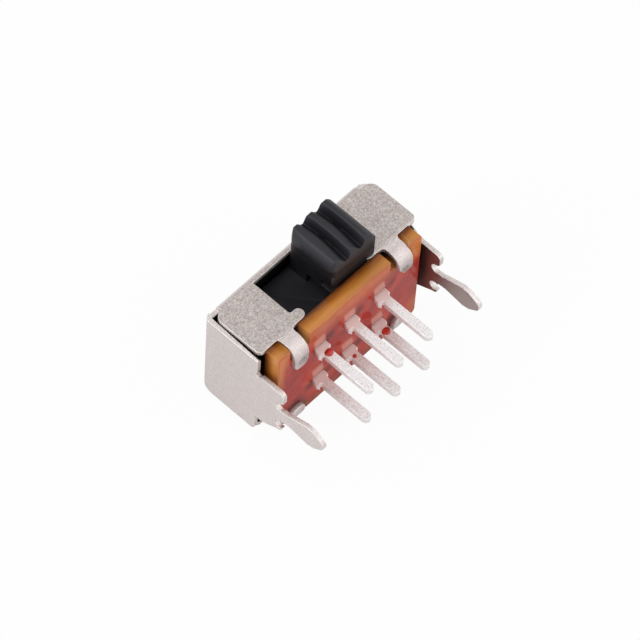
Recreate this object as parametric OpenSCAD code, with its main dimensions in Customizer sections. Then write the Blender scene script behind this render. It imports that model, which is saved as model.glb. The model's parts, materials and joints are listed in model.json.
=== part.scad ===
// Side-actuated slide switch: two poles, two positions, six solder pins.
// Frame of reference: X runs along the slide, +Z is the way the knob points,
// and the pins point to -Y. The origin is the centre of the bottom face.

/* [Body] */
// Length over the outer faces of the two end plates
body_l = 10.8; // [10.2:0.1:14]
// Height from the bottom face to the top face of the frame
body_h = 6.5; // [6.2:0.1:9]
// Depth from the front of the terminal board to the back of the frame
body_d = 4.2; // [3.9:0.1:6]

/* [Frame sheet] */
// Thickness of the folded sheet
sheet_t = 0.25; // [0.2:0.01:0.3]
// Outer radius of the folds along the back plate
fold_r = 0.35; // [0.32:0.01:0.6]
// How far the -X end plate stops short of the top face
near_inset = 0.2; // [0.1:0.02:0.4]
// How far the +X end plate stops short of the top face
far_inset = 0.5; // [0.1:0.02:0.6]
// How far both end plates stop short of the bottom face
low_inset = 0.36; // [0.1:0.02:0.5]
// Gap between the end plates and the edges of the top and bottom plates
seam_gap = 0.03; // [0.03:0.01:0.1]

/* [Knob opening] */
// Length of the opening in the top plate
opening_l = 5.1; // [5.1:0.05:5.6]
// Width of the strip that is left behind the opening
strip_w = 0.4; // [0.36:0.01:0.5]
// How far each front lug reaches into the opening
lug_reach = 0.56; // [0.3:0.02:0.6]
// Width of each lug
lug_w = 0.56; // [0.4:0.02:0.6]

/* [Tabs] */
// Distance of each tab from the middle of the body
tab_x = 3.5; // [3.3:0.05:3.8]
// Width of a tab
tab_w = 0.9; // [0.7:0.05:1.1]
// Inner radius of the tab bends
tab_bend_r = 0.5; // [0.3:0.05:0.6]
// How far the round upper tab at -X reaches down from the top face
near_tab_reach = 1.6; // [1.3:0.05:1.8]
// How far the square upper tab at +X reaches down from the top face
far_tab_reach = 1.3; // [1.2:0.05:1.8]
// How far the lower tabs reach up from the bottom face
lower_tab_reach = 1.2; // [1.05:0.05:1.4]

/* [Arms and legs] */
// Height of the top edge of the arms
arm_top = 5.2; // [4.9:0.05:5.4]
// Height of the bottom edge of the arms
arm_bottom = 1.58; // [1.4:0.02:1.9]
// How far the arm shoulders stand in front of the terminal board
arm_reach = 0.9; // [0.75:0.05:1.1]
// Height of the middle of the legs at their root
leg_z = 3.4; // [3.3:0.05:3.5]
// Upward lean of the legs, in degrees
leg_lean = 5; // [0:1:6]
// Height of a leg where it leaves the arm
leg_root_h = 0.85; // [0.75:0.05:1]
// Height of a leg at its widest
leg_wide_h = 1.4; // [1.1:0.05:1.5]
// How far the legs reach in front of the terminal board
leg_reach = 3.45; // [3:0.05:4]
// Radius of the round notches beside each leg
leg_notch_r = 0.3; // [0.2:0.02:0.34]

/* [Terminal board] */
// Thickness of the board
board_t = 0.9; // [0.8:0.05:1.1]
// Gap between each end of the board and the end plate
board_gap = 0.35; // [0.1:0.05:0.5]
// Radius of the board's lower corners
board_corner_r = 0.3; // [0.1:0.05:0.5]
// Radius of the board's upper corners
board_top_r = 0.1; // [0.05:0.05:0.3]
// Size of the slanted corner at the board's lower -X side
board_key = 0.85; // [0.5:0.05:0.9]

/* [Terminals] */
// Distance between neighbouring terminals of a row
pitch = 2; // [1.8:0.1:2.1]
// Distance between the two rows
row_gap = 2.6; // [2.4:0.1:3]
// Width of a pin
pin_w = 0.5; // [0.4:0.02:0.6]
// Thickness of a terminal
pin_t = 0.35; // [0.25:0.01:0.4]
// How far the pins reach in front of the board
pin_l = 3.3; // [2.5:0.1:4]
// Width of the root that fills the slit
root_w = 0.74; // [0.7:0.02:0.9]
// How far the root stands in front of the board
root_l = 0.3; // [0.2:0.02:0.36]
// How far the staked ear spreads past the side of the slit
ear_spread = 0.12; // [0.06:0.02:0.16]
// Height of the contact pad behind the board
pad_h = 0.85; // [0.7:0.05:1]

/* [Slider] */
// Full travel of the slider
travel = 2.2; // [1.6:0.1:2.2]
// Length of the knob's neck
neck_l = 2.78; // [2.6:0.02:2.8]
// How far the neck lies off the middle of the slider, towards +X
neck_shift = 0.03; // [0:0.01:0.03]
// How far the knob stands above the top face
knob_h = 2.05; // [1.7:0.05:4]
// Distance between neighbouring crests
crest_pitch = 0.96; // [0.94:0.01:1]
// How far the middle crest lies off the middle of the slider, towards -X
crest_shift = 0.15; // [0.1:0.01:0.2]
// Radius of the crests
crest_r = 0.16; // [0.1:0.01:0.18]
// Depth of the valleys between the crests
valley_depth = 0.53; // [0.4:0.01:0.56]
// Radius at the bottom of the valleys
valley_r = 0.12; // [0.06:0.01:0.13]
// How far each valley lies off the middle between its crests, towards +X
valley_lean = 0.14; // [0:0.01:0.16]
// Outer radius of the crest at the -X end
lobe_r = 0.32; // [0.3:0.01:0.4]
// How far the lower edge of that crest lies below the tops of the crests
lobe_drop = 0.9; // [0.6:0.05:1]
// Radius of the knob's upright edge at the front on the -X side
knob_corner_r = 0.3; // [0.1:0.05:0.4]
// Depth of the carrier's top face below the top of the frame
carrier_drop = 1.1; // [0.9:0.05:1.3]

/* [Contact clips] */
// Thickness of the clip strip
clip_t = 0.15; // [0.1:0.01:0.18]
// Width of the clip strip
clip_w = 1; // [0.8:0.05:1.1]
// Radius of the contact domes
dome_r = 0.4; // [0.3:0.02:0.45]
// Outer diameter of the springs
spring_d = 1.1; // [0.9:0.05:1.15]
// Diameter of the spring wire
wire_d = 0.18; // [0.14:0.02:0.2]
// Turns of each spring
spring_turns = 4; // [3:1:5]

/* [Hidden] */

// Clearances
slide_gap = 0.06;      // between sliding faces
back_gap = 0.03;       // between the back of the knob and the opening
slit_gap = 0.02;       // around a terminal in its slit
slit_headroom = 0.1;   // above a terminal in its slit
touch_gap = 0.01;      // between pressed contacts
clip_gap = 0.02;       // between a clip and the carrier
groove_gap = 0.04;     // around the legs of a clip
guide_gap = 0.05;      // between the guide feet and the frame
end_gap = 0.05;        // between the carrier and an end plate at each stop
over = 0.5;            // overshoot of cutting shapes
lap = 0.02;            // overlap of shapes that are joined
fine = 64;             // facets of a full round

// Planes of the body
front_y = -body_d/2;               // front face of the board
back_y = body_d/2;                 // outer face of the back plate
plate_front_y = front_y + board_t; // rear face of the board, front edge of the plates
inner_x = body_l/2 - sheet_t;      // inner face of an end plate
plate_x = inner_x - seam_gap;      // side edge of the top and bottom plates
fold_inner_r = fold_r - sheet_t;
opening_back_y = back_y - strip_w;
lug_back_y = plate_front_y + lug_w + lap;
lug_fillet_r = 0.14;               // fillet behind each lug
mid_z = body_h/2;
row_z = [mid_z - row_gap/2, mid_z + row_gap/2];
root_shift = 0.03;                 // the root's middle from the pin's middle

// Slider
rest_x = travel/2;                 // the slider rests at the +X end of its travel
neck_front_y = plate_front_y + slide_gap;
neck_back_y = opening_back_y - back_gap;
carrier_l = 2*(inner_x - end_gap) - travel;
carrier_top = body_h - carrier_drop;
pad_back_y = plate_front_y + pin_t;
clip_front_y = pad_back_y + dome_r/2 + touch_gap;
clip_back_y = clip_front_y + clip_t;
carrier_front_y = clip_back_y + clip_gap;
pad_mid = (pad_h - pin_t)/2;       // pad centre above or below its row
spring_depth = 1.35;               // depth of a spring's bore
clip_half = pitch/2 + dome_r;      // half the length of a clip
clip_leg = 0.65;                   // length of a clip's legs
valley_z = knob_h - valley_depth;  // bottom of the valleys above the top face
neck_x = neck_shift + neck_l/2;    // +X side of the neck
lobe_x = -crest_shift - crest_pitch; // middle of the crest at the -X end

steel = [0.76, 0.74, 0.72];
phenolic = [0.62, 0.26, 0.18];
tin = [0.86, 0.84, 0.82];
charcoal = [0.17, 0.17, 0.18];
silver = [0.85, 0.83, 0.8];
spring_steel = [0.6, 0.6, 0.62];

// ---------- shared shapes ----------

// Rectangle from corner a to corner b with four round corners
module round_rect(a, b, r) {
    translate([a.x + r, a.y]) square([b.x - a.x - 2*r, b.y - a.y]);
    translate([a.x, a.y + r]) square([b.x - a.x, b.y - a.y - 2*r]);
    for (x = [a.x + r, b.x - r], y = [a.y + r, b.y - r]) translate([x, y]) circle(r, $fn = fine);
}

// Concave fillet for the corner at p, opening towards the signs in dir
module fillet(p, r, dir) {
    translate(p) mirror([dir.x < 0 ? 1 : 0, 0]) mirror([0, dir.y < 0 ? 1 : 0])
        difference() {
            square(r);
            translate([r, r]) circle(r, $fn = fine);
        }
}

// Quarter of a tube wall in the XY plane, centre at the origin, from +X round to +Y
module quarter_wall(inner, wall) {
    intersection() {
        difference() {
            circle(inner + wall, $fn = fine);
            circle(inner, $fn = fine);
        }
        square(inner + wall);
    }
}

// Lays a shape drawn in (y, z) upright and gives it a thickness along +X from x0
module upright(x0, thick) {
    translate([x0, 0, 0]) rotate([90, 0, 90]) linear_extrude(thick) children();
}

module mirrored_x() {
    children();
    mirror([1, 0, 0]) children();
}

// ---------- frame ----------

// Plan of the top or bottom plate, without its opening
module plate_plan() {
    front_r = 0.3;
    back_r = 0.5;
    fold_y = back_y - fold_r;
    translate([-plate_x, plate_front_y + front_r])
        square([2*plate_x, fold_y - plate_front_y - front_r - back_r]);
    translate([front_r - plate_x, plate_front_y]) square([2*(plate_x - front_r), 2*front_r]);
    translate([back_r - plate_x, fold_y - 2*back_r]) square([2*(plate_x - back_r), fold_r + 2*back_r]);
    for (s = [-1, 1]) {
        translate([s*(plate_x - front_r), plate_front_y + front_r]) circle(front_r, $fn = fine);
        translate([s*(plate_x - back_r), fold_y - back_r]) circle(back_r, $fn = fine);
    }
}

// Rounded lug at one front corner of the opening
module lug_plan() {
    tip_r = lug_w/2;
    tip_x = opening_l/2 - lug_reach + tip_r;
    translate([tip_x, lug_back_y - tip_r]) circle(tip_r, $fn = fine);
    translate([tip_x, plate_front_y]) square([lug_reach - tip_r, lug_back_y - plate_front_y]);
    fillet([opening_l/2, lug_back_y], lug_fillet_r, [-1, 1]);
}

module opening_plan() {
    difference() {
        translate([-opening_l/2, plate_front_y - over])
            square([opening_l, opening_back_y - plate_front_y + over]);
        mirrored_x() lug_plan();
    }
}

// Section of a plate in (y, z) as it lies at the bottom: flat part and fold into the back plate
module plate_section() {
    translate([plate_front_y - over, 0]) square([back_y - fold_r - plate_front_y + over, sheet_t]);
    translate([back_y - fold_r, fold_r]) mirror([0, 1]) quarter_wall(fold_inner_r, sheet_t);
}

// Outline of a tab in (x, z) where it lies on the board. The tab at -X ends round or nearly so,
// the upper one at +X is cut square with one slanted corner
module tab_face(reach, bend_z, tip_r) {
    translate([tab_x - tab_w/2, bend_z]) square([tab_w, reach - bend_z - tip_r]);
    translate([tab_x - tab_w/2 + tip_r, bend_z]) square([tab_w - 2*tip_r, reach - bend_z]);
    for (s = [-1, 1]) translate([tab_x + s*(tab_w/2 - tip_r), reach - tip_r]) circle(tip_r, $fn = fine);
}

module slanted_corner(reach) {
    slant_w = 0.34;
    slant_h = 0.5;
    x0 = tab_x - tab_w/2;
    polygon([[x0 - over, reach - slant_h], [x0, reach - slant_h], [x0 + slant_w, reach],
        [x0 + slant_w, reach + over], [x0 - over, reach + over]]);
}

// One tab at x = tab_x as it lies at the bottom, bent up over the front of the board
module tab(reach, tip_r, slanted) {
    bend_y = front_y + tab_bend_r;
    bend_z = sheet_t + tab_bend_r;
    root_r = 0.2;
    linear_extrude(sheet_t) {
        translate([tab_x - tab_w/2, bend_y]) square([tab_w, plate_front_y - bend_y]);
        fillet([tab_x - tab_w/2, plate_front_y], root_r, [-1, -1]);
        fillet([tab_x + tab_w/2, plate_front_y], root_r, [1, -1]);
    }
    upright(tab_x - tab_w/2, tab_w) translate([bend_y, bend_z]) mirror([1, 0]) mirror([0, 1])
        quarter_wall(tab_bend_r, sheet_t);
    translate([0, front_y, 0]) rotate([90, 0, 0]) linear_extrude(sheet_t) difference() {
        tab_face(reach, bend_z, tip_r);
        if (slanted) slanted_corner(reach);
    }
}

module bottom_sheet() {
    lower_tip_r = 0.3;
    intersection() {
        upright(-plate_x, 2*plate_x) plate_section();
        linear_extrude(fold_r + over) plate_plan();
    }
    mirrored_x() tab(lower_tab_reach, lower_tip_r, false);
}

module top_sheet() {
    far_tip_r = 0.06;
    translate([0, 0, body_h]) mirror([0, 0, 1]) {
        difference() {
            intersection() {
                upright(-plate_x, 2*plate_x) plate_section();
                linear_extrude(fold_r + over) plate_plan();
            }
            translate([0, 0, -over]) linear_extrude(sheet_t + 2*over) opening_plan();
        }
        tab(far_tab_reach, far_tip_r, true);
        mirror([1, 0, 0]) tab(near_tab_reach, tab_w/2 - lap, false);
    }
}

// Outline of a leg in (y, z): narrow behind the notches, widest past its middle, with a round tip
module leg_outline() {
    root_dy = 0.4;
    root_y = front_y - arm_reach + root_dy;
    root_l = 0.1;
    waist_l = 0.85;
    wide_l = 0.4;
    wide_fall = 0.06;
    tip_r = 0.42;
    tip_angle = 62;
    taper_l = 0.65;
    root = leg_root_h/2;
    wide = leg_wide_h/2;
    tip_dy = front_y - leg_reach - root_y;
    wide_dy = tip_dy + taper_l + wide_l;
    edge_dy = tip_dy + tip_r*(1 - cos(tip_angle));
    edge = tip_r*sin(tip_angle);
    translate([root_y, leg_z]) rotate(-leg_lean) {
        polygon([[root_l, -root], [root_l, root], [-waist_l, root], [wide_dy, wide],
            [wide_dy - wide_l, wide - wide_fall], [edge_dy, edge], [edge_dy, -edge],
            [wide_dy - wide_l, wide_fall - wide], [wide_dy, -wide], [-waist_l, -root]]);
        translate([tip_dy + tip_r, 0]) circle(tip_r, $fn = fine);
    }
}

// Outline of the arm in (y, z): level on top, rising underneath towards the lower shoulder
module arm_outline() {
    shoulder_y = front_y - arm_reach;
    shoulder_r = 0.3;
    low_rise = 0.5;
    low_r = 0.28;
    low_cut = 0.1;
    low_z = arm_bottom + low_rise;
    slope_dy = 0.3;
    slope_y = front_y + slope_dy;
    overlap_l = 0.6;
    back = plate_front_y + overlap_l;
    polygon([[back, arm_bottom], [back, arm_top], [shoulder_y + shoulder_r, arm_top],
        [shoulder_y, arm_top - shoulder_r], [shoulder_y, low_z + low_r + low_cut],
        [shoulder_y + low_cut, low_z + low_r/2], [shoulder_y + low_r, low_z], [slope_y, arm_bottom]]);
    translate([shoulder_y + shoulder_r, arm_top - shoulder_r]) circle(shoulder_r, $fn = fine);
    translate([shoulder_y + low_r, low_z + low_r]) circle(low_r, $fn = fine);
}

// Outline of an end plate with its arm, in (y, z)
module end_plate_outline(top_inset) {
    step_l = 0.1;
    step_y = plate_front_y - step_l;
    back_r = 0.8;
    front_r = 0.2;
    relief_r = 0.16;
    relief_dy = 0.1;
    notch_dy = 0.17;
    notch_y = front_y - arm_reach + notch_dy;
    notch_drop = 0.07;
    notch_rise = leg_root_h/2 + leg_notch_r;
    mouth_inset = 0.05;
    mouth_h = leg_notch_r - mouth_inset;
    flare = 0.3;
    difference() {
        union() {
            translate([step_y, low_inset + front_r])
                square([back_y - step_y - back_r, body_h - top_inset - low_inset - front_r]);
            translate([step_y + front_r, low_inset]) square([back_y - step_y - back_r - front_r, back_r]);
            translate([step_y + front_r, low_inset + front_r]) circle(front_r, $fn = fine);
            translate([step_y, low_inset + back_r])
                square([back_y - step_y, body_h - top_inset - low_inset - back_r]);
            translate([back_y - back_r, low_inset + back_r]) circle(back_r, $fn = fine);
            arm_outline();
            leg_outline();
        }
        translate([step_y - relief_dy, arm_top + lap]) circle(relief_r, $fn = fine);
        for (z = [leg_z + notch_rise - notch_drop, leg_z - notch_rise - notch_drop]) {
            translate([notch_y, z]) circle(leg_notch_r, $fn = fine);
            translate([notch_y - over, z - mouth_h]) square([over, 2*mouth_h]);
        }
        translate([notch_y, leg_z + notch_rise - notch_drop])
            polygon([[0, 0], [0, leg_notch_r], [-flare, leg_notch_r + flare], [-flare, 0]]);
    }
}

// End plate on the +X side, folded forward from the back plate
module end_plate(top_inset) {
    intersection() {
        linear_extrude(body_h) {
            translate([inner_x, front_y - leg_reach]) square([sheet_t, body_d + leg_reach - fold_r]);
            translate([body_l/2 - fold_r, back_y - fold_r]) quarter_wall(fold_inner_r, sheet_t);
        }
        upright(0, body_l/2 + over) end_plate_outline(top_inset);
    }
}

module back_plate() {
    translate([fold_r - body_l/2, back_y - sheet_t, fold_r])
        cube([body_l - 2*fold_r, sheet_t, body_h - 2*fold_r]);
}

module frame() {
    color(steel) {
        back_plate();
        bottom_sheet();
        top_sheet();
        end_plate(far_inset);
        mirror([1, 0, 0]) end_plate(near_inset);
    }
}

// ---------- terminal board ----------

module terminal_board() {
    half_l = inner_x - board_gap;
    notch_inner_gap = 0.35;
    notch_outer_gap = 0.05;
    notch_x = tab_x - tab_w/2 - notch_inner_gap;
    notch_w = notch_inner_gap + tab_w + notch_outer_gap;
    notch_depth = sheet_t + tab_bend_r;
    color(phenolic) translate([0, plate_front_y, 0]) rotate([90, 0, 0]) linear_extrude(board_t)
        difference() {
            union() {
                round_rect([-half_l, 0], [half_l, body_h - board_corner_r], board_corner_r);
                round_rect([-half_l, board_corner_r], [half_l, body_h], board_top_r);
            }
            mirrored_x() for (z = [0, body_h]) translate([notch_x, z - notch_depth])
                square([notch_w, 2*notch_depth]);
            polygon([[-half_l - over, -over], [-half_l - over, board_key], [-half_l, board_key],
                [board_key - half_l, 0], [board_key - half_l, -over]]);
            for (column = [-1:1], z = row_z)
                translate([column*pitch + root_shift - root_w/2 - slit_gap, z - pin_t/2 - slit_gap])
                    square([root_w + 2*slit_gap, pin_t + 2*slit_gap + slit_headroom]);
        }
}

// ---------- terminals ----------

// Plan of the part in front of the board: root, staked ear and pin, with x = 0 on the pin's middle
module terminal_plan() {
    left = root_shift - root_w/2;
    right = root_shift + root_w/2;
    ear_y = front_y - root_l;
    ear_l = 0.2;
    ear_back = 0.04;
    bite_r = 0.09;
    bite_dx = 0.07;
    fillet_r = 0.12;
    difference() {
        union() {
            polygon([[left, front_y], [left - ear_spread, ear_y - ear_back], [left - lap, ear_y - ear_l],
                [0, ear_y - ear_l], [0, ear_y], [right, ear_y], [right, front_y]]);
            translate([-pin_w/2, front_y - pin_l + pin_w/2]) square([pin_w, pin_l - pin_w/2]);
            translate([0, front_y - pin_l + pin_w/2]) circle(pin_w/2, $fn = fine);
            fillet([pin_w/2, ear_y], fillet_r, [1, -1]);
        }
        translate([left + bite_dx, ear_y - ear_l + lap]) circle(bite_r, $fn = fine);
    }
}

// A terminal of its row. fold is +1 where the inner pad folds up and -1 where it folds down
module terminal(column, z, fold) {
    color(tin) translate([column*pitch, 0, z]) {
        translate([0, 0, -pin_t/2]) linear_extrude(pin_t) {
            terminal_plan();
            translate([root_shift - root_w/2, front_y]) square([root_w, board_t]);
        }
        mirror([0, 0, fold < 0 ? 1 : 0]) translate([root_shift - root_w/2, plate_front_y, -pin_t/2])
            cube([root_w, pin_t, pad_h]);
    }
}

// ---------- slider ----------

// Slope of the line that touches a crest and the valley dx away from it
function flank_angle(dx) =
    let (h = valley_depth - crest_r - valley_r) atan2(h, dx) + asin((crest_r + valley_r)/norm([dx, h]));

// One crest in (x, z), from the bottom of one valley to the bottom of the next
module crest_section() {
    right_dx = crest_pitch/2 + valley_lean;
    left_dx = crest_pitch/2 - valley_lean;
    right = flank_angle(right_dx);
    left = flank_angle(left_dx);
    polygon([[-left_dx, valley_z], [valley_r*sin(left) - left_dx, valley_z + valley_r*(1 - cos(left))],
        [-crest_r*sin(left), knob_h - crest_r*(1 - cos(left))],
        [crest_r*sin(right), knob_h - crest_r*(1 - cos(right))],
        [right_dx - valley_r*sin(right), valley_z + valley_r*(1 - cos(right))], [right_dx, valley_z]]);
    translate([0, knob_h - crest_r]) circle(crest_r, $fn = fine);
}

// Section of the knob in (x, z), with z = 0 at the top face of the frame: three crests with a steep
// side towards -X. The first one is rounder and hangs over the neck, the last one ends at the neck
module knob_section() {
    difference() {
        union() {
            translate([neck_x - neck_l, 0]) square([neck_l, valley_z + lap]);
            intersection() {
                for (k = [-1:1]) translate([k*crest_pitch - crest_shift, 0]) crest_section();
                translate([lobe_x, 0]) square([neck_x - lobe_x, knob_h]);
            }
            intersection() {
                translate([lobe_x, knob_h - lobe_r]) circle(lobe_r, $fn = fine);
                translate([lobe_x - knob_h, 0]) square(knob_h);
            }
            translate([lobe_x - lobe_r, knob_h - lobe_drop]) square([2*lobe_r, lobe_drop - lobe_r]);
        }
        for (k = [-1:1]) translate([(k + 0.5)*crest_pitch - crest_shift + valley_lean, valley_z + valley_r])
            circle(valley_r, $fn = fine);
    }
}

// Plan of the knob, with one round edge at the front
module knob_plan() {
    size = [neck_x + over - lobe_x + lobe_r, neck_back_y + over - neck_front_y];
    r = knob_corner_r;
    translate([lobe_x - lobe_r, neck_front_y]) {
        translate([r, 0]) square([size.x - r, size.y]);
        translate([0, r]) square([size.x, size.y - r]);
        translate([r, r]) circle(r, $fn = fine);
    }
}

module knob() {
    front_r = 0.5;
    back_r = 0.12;
    depth = neck_back_y - neck_front_y;
    top = body_h + knob_h;
    intersection() {
        translate([0, neck_back_y, body_h]) rotate([90, 0, 0]) linear_extrude(depth) knob_section();
        upright(-neck_l, 2*neck_l) {
            translate([neck_front_y, body_h - over]) square([depth, knob_h + over - front_r]);
            translate([neck_front_y + front_r, body_h - over])
                square([depth - front_r - back_r, knob_h + over]);
            translate([neck_front_y + front_r, top - front_r]) circle(front_r, $fn = fine);
            translate([neck_back_y - back_r, top - back_r]) circle(back_r, $fn = fine);
            translate([neck_back_y - front_r, top - front_r]) square([front_r, front_r - back_r]);
        }
        translate([0, 0, body_h - over]) linear_extrude(knob_h + 2*over) knob_plan();
    }
}

// Neck below the top face, with the hollows in its sides and the reliefs that clear the lugs
module neck() {
    hollow = 0.4;
    front_wall = 0.45;
    back_wall = 1.2;
    roof = 0.45;
    hollow_front_y = neck_front_y + front_wall;
    hollow_back_y = neck_back_y - back_wall;
    hollow_top = body_h - roof;
    difference() {
        intersection() {
            translate([neck_x - neck_l, neck_front_y, carrier_top - lap])
                cube([neck_l, neck_back_y - neck_front_y, body_h - carrier_top + 2*lap]);
            translate([0, 0, carrier_top - over]) linear_extrude(body_h - carrier_top + 2*over) knob_plan();
        }
        translate([neck_shift, 0, 0]) mirrored_x()
            translate([neck_l/2 - hollow, hollow_front_y, carrier_top])
                cube([hollow + over, hollow_back_y - hollow_front_y, hollow_top - carrier_top]);
    }
}

module lug_relief() {
    relief_x = opening_l/2 - lug_reach - travel/2 - slide_gap;
    relief_back_y = lug_back_y + lug_fillet_r + slide_gap;
    mirrored_x() translate([relief_x, neck_front_y - over, body_h - sheet_t - slide_gap])
        cube([neck_l, relief_back_y - neck_front_y + over, sheet_t + 2*slide_gap]);
}

// Block that holds the springs, with a shelf over the terminals and a guide foot at each end
module carrier() {
    guide_l = 0.5;
    guide_back_y = back_y - sheet_t - guide_gap;
    shelf_h = 0.5;
    difference() {
        union() {
            translate([-carrier_l/2, carrier_front_y, body_h - carrier_top])
                cube([carrier_l, neck_back_y - carrier_front_y, 2*carrier_top - body_h]);
            translate([-carrier_l/2, neck_front_y, carrier_top - shelf_h])
                cube([carrier_l, neck_back_y - neck_front_y, shelf_h]);
            mirrored_x() translate([carrier_l/2 - guide_l, carrier_front_y, sheet_t + guide_gap])
                cube([guide_l, guide_back_y - carrier_front_y, body_h - 2*sheet_t - 2*guide_gap]);
        }
        for (s = [-1, 1]) translate([0, 0, mid_z + s*(row_gap/2 - pad_mid)]) clip_seat();
    }
}

// Spring bore and the two grooves for the legs of one clip
module clip_seat() {
    bore_gap = 0.1;
    translate([0, carrier_front_y - over, 0]) rotate([-90, 0, 0])
        cylinder(h = spring_depth + over, r = spring_d/2 + bore_gap, $fn = fine);
    mirrored_x() translate([clip_half - clip_t - groove_gap, carrier_front_y - over, -clip_w/2 - groove_gap])
        cube([clip_t + 2*groove_gap, clip_leg + over + groove_gap, clip_w + 2*groove_gap]);
}

module slider() {
    color(charcoal) translate([rest_x, 0, 0]) difference() {
        union() {
            carrier();
            neck();
            knob();
        }
        lug_relief();
    }
}

// ---------- contact clips and their springs ----------

// s is +1 for the upper row and -1 for the lower row
function clip_z(s) = mid_z + s*(row_gap/2 - pad_mid);

module contact_clip(s) {
    color(silver) translate([rest_x, 0, clip_z(s)]) {
        translate([-clip_half, clip_front_y, -clip_w/2]) cube([2*clip_half, clip_t, clip_w]);
        mirrored_x() {
            translate([clip_half - clip_t, clip_front_y, -clip_w/2])
                cube([clip_t, clip_t + clip_leg, clip_w]);
            intersection() {
                translate([pitch/2, pad_back_y + touch_gap + dome_r, 0]) sphere(dome_r, $fn = fine);
                translate([pitch/2 - dome_r, pad_back_y, -dome_r])
                    cube([2*dome_r, clip_front_y - pad_back_y + clip_t/2, 2*dome_r]);
            }
        }
    }
}

// Points round the wire at each step of the helix
function helix_ring(a, y, r, w, n) = [for (i = [0:n - 1])
    let (b = 360*i/n, q = r + w*cos(b)) [q*cos(a), y + w*sin(b), q*sin(a)]];

module clip_spring(s) {
    n = 8;
    turn_steps = 18;
    steps = turn_steps*spring_turns;
    w = wire_d/2;
    y0 = clip_back_y + touch_gap + w;
    y1 = carrier_front_y + spring_depth - touch_gap - w;
    r = spring_d/2 - w;
    points = [for (k = [0:steps]) each helix_ring(360*k/turn_steps, y0 + (y1 - y0)*k/steps, r, w, n)];
    walls = [for (k = [0:steps - 1], i = [0:n - 1])
        [k*n + i, (k + 1)*n + i, (k + 1)*n + (i + 1)%n, k*n + (i + 1)%n]];
    caps = [[for (i = [0:n - 1]) i], [for (i = [0:n - 1]) steps*n + n - 1 - i]];
    color(spring_steel) translate([rest_x, 0, clip_z(s)]) polyhedron(points, concat(walls, caps));
}

frame();
terminal_board();
terminal(-1, row_z[1], -1);  // terminal_upper_left
terminal(0, row_z[1], -1);  // terminal_upper_middle
terminal(1, row_z[1], -1);  // terminal_upper_right
terminal(-1, row_z[0], 1);  // terminal_lower_left
terminal(0, row_z[0], 1);  // terminal_lower_middle
terminal(1, row_z[0], 1);  // terminal_lower_right
slider();
contact_clip(1);  // contact_clip_upper
contact_clip(-1);  // contact_clip_lower
clip_spring(1);  // clip_spring_upper
clip_spring(-1);  // clip_spring_lower
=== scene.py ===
"""Slide switch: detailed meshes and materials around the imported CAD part.

Blender's units are metres. Lengths in this file are in mm unless a comment says otherwise.
"""

import json
import math

import bmesh
import bpy
from mathutils import Matrix, Vector
from mathutils.bvhtree import BVHTree
from mathutils.geometry import area_tri, tessellate_polygon


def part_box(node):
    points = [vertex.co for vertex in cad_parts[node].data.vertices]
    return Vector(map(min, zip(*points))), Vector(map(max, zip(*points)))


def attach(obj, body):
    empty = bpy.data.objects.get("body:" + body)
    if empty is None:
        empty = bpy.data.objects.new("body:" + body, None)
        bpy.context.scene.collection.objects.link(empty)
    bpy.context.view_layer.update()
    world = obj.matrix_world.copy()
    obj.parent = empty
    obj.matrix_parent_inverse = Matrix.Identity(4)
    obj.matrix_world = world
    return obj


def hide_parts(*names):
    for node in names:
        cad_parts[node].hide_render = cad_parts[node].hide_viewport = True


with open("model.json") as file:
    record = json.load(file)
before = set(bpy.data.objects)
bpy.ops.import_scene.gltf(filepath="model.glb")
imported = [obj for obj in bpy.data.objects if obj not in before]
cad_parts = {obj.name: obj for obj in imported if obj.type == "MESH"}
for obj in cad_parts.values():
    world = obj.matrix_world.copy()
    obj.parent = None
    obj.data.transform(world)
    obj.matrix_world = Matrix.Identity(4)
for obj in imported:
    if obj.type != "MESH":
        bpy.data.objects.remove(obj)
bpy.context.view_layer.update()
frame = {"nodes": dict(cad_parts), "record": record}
MM = 0.001

# ---------------------------------------------------------------- camera

AZIMUTH, ELEVATION, ROLL = (math.radians(a) for a in (50.367, 58.217, 4.358))
TARGET = Vector((-0.172, -0.46, 3.0)) * MM
DISTANCE = 232.2 * MM
FOCAL_PIXELS, FRAME_PIXELS, SENSOR_MM = 5000, 640, 36
CLIP_START_M, CLIP_END_M = 0.01, 10


def make_camera():
    back = Vector(
        (
            -math.sin(AZIMUTH) * math.cos(ELEVATION),
            -math.cos(AZIMUTH) * math.cos(ELEVATION),
            math.sin(ELEVATION),
        )
    )
    right = (-back).cross(Vector((0, 0, 1))).normalized()
    up = right.cross(-back)
    turn = Matrix.Rotation(ROLL, 3, back)
    right, up = turn @ right, turn @ up
    data = bpy.data.cameras.new("camera")
    data.sensor_width = SENSOR_MM
    data.lens = SENSOR_MM * FOCAL_PIXELS / FRAME_PIXELS
    data.clip_start, data.clip_end = CLIP_START_M, CLIP_END_M
    cam = bpy.data.objects.new("camera", data)
    bpy.context.scene.collection.objects.link(cam)
    rows = Matrix((right, up, back)).transposed()
    cam.matrix_world = Matrix.Translation(TARGET + back * DISTANCE) @ rows.to_4x4()
    bpy.context.scene.camera = cam


make_camera()

# ---------------------------------------------------------------- sizes from the frame


def box_mm(node):
    return [[c / MM for c in corner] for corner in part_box(node)]


SLOT_OF = {entry["node"]: entry["material_slot"] for entry in frame["record"]["subparts"]}
plate_lo, plate_hi = box_mm("frame")
board_lo, board_hi = box_mm("terminal_board")
SHEET = 0.25
PITCH = 2.0

# ---------------------------------------------------------------- node helpers


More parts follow.
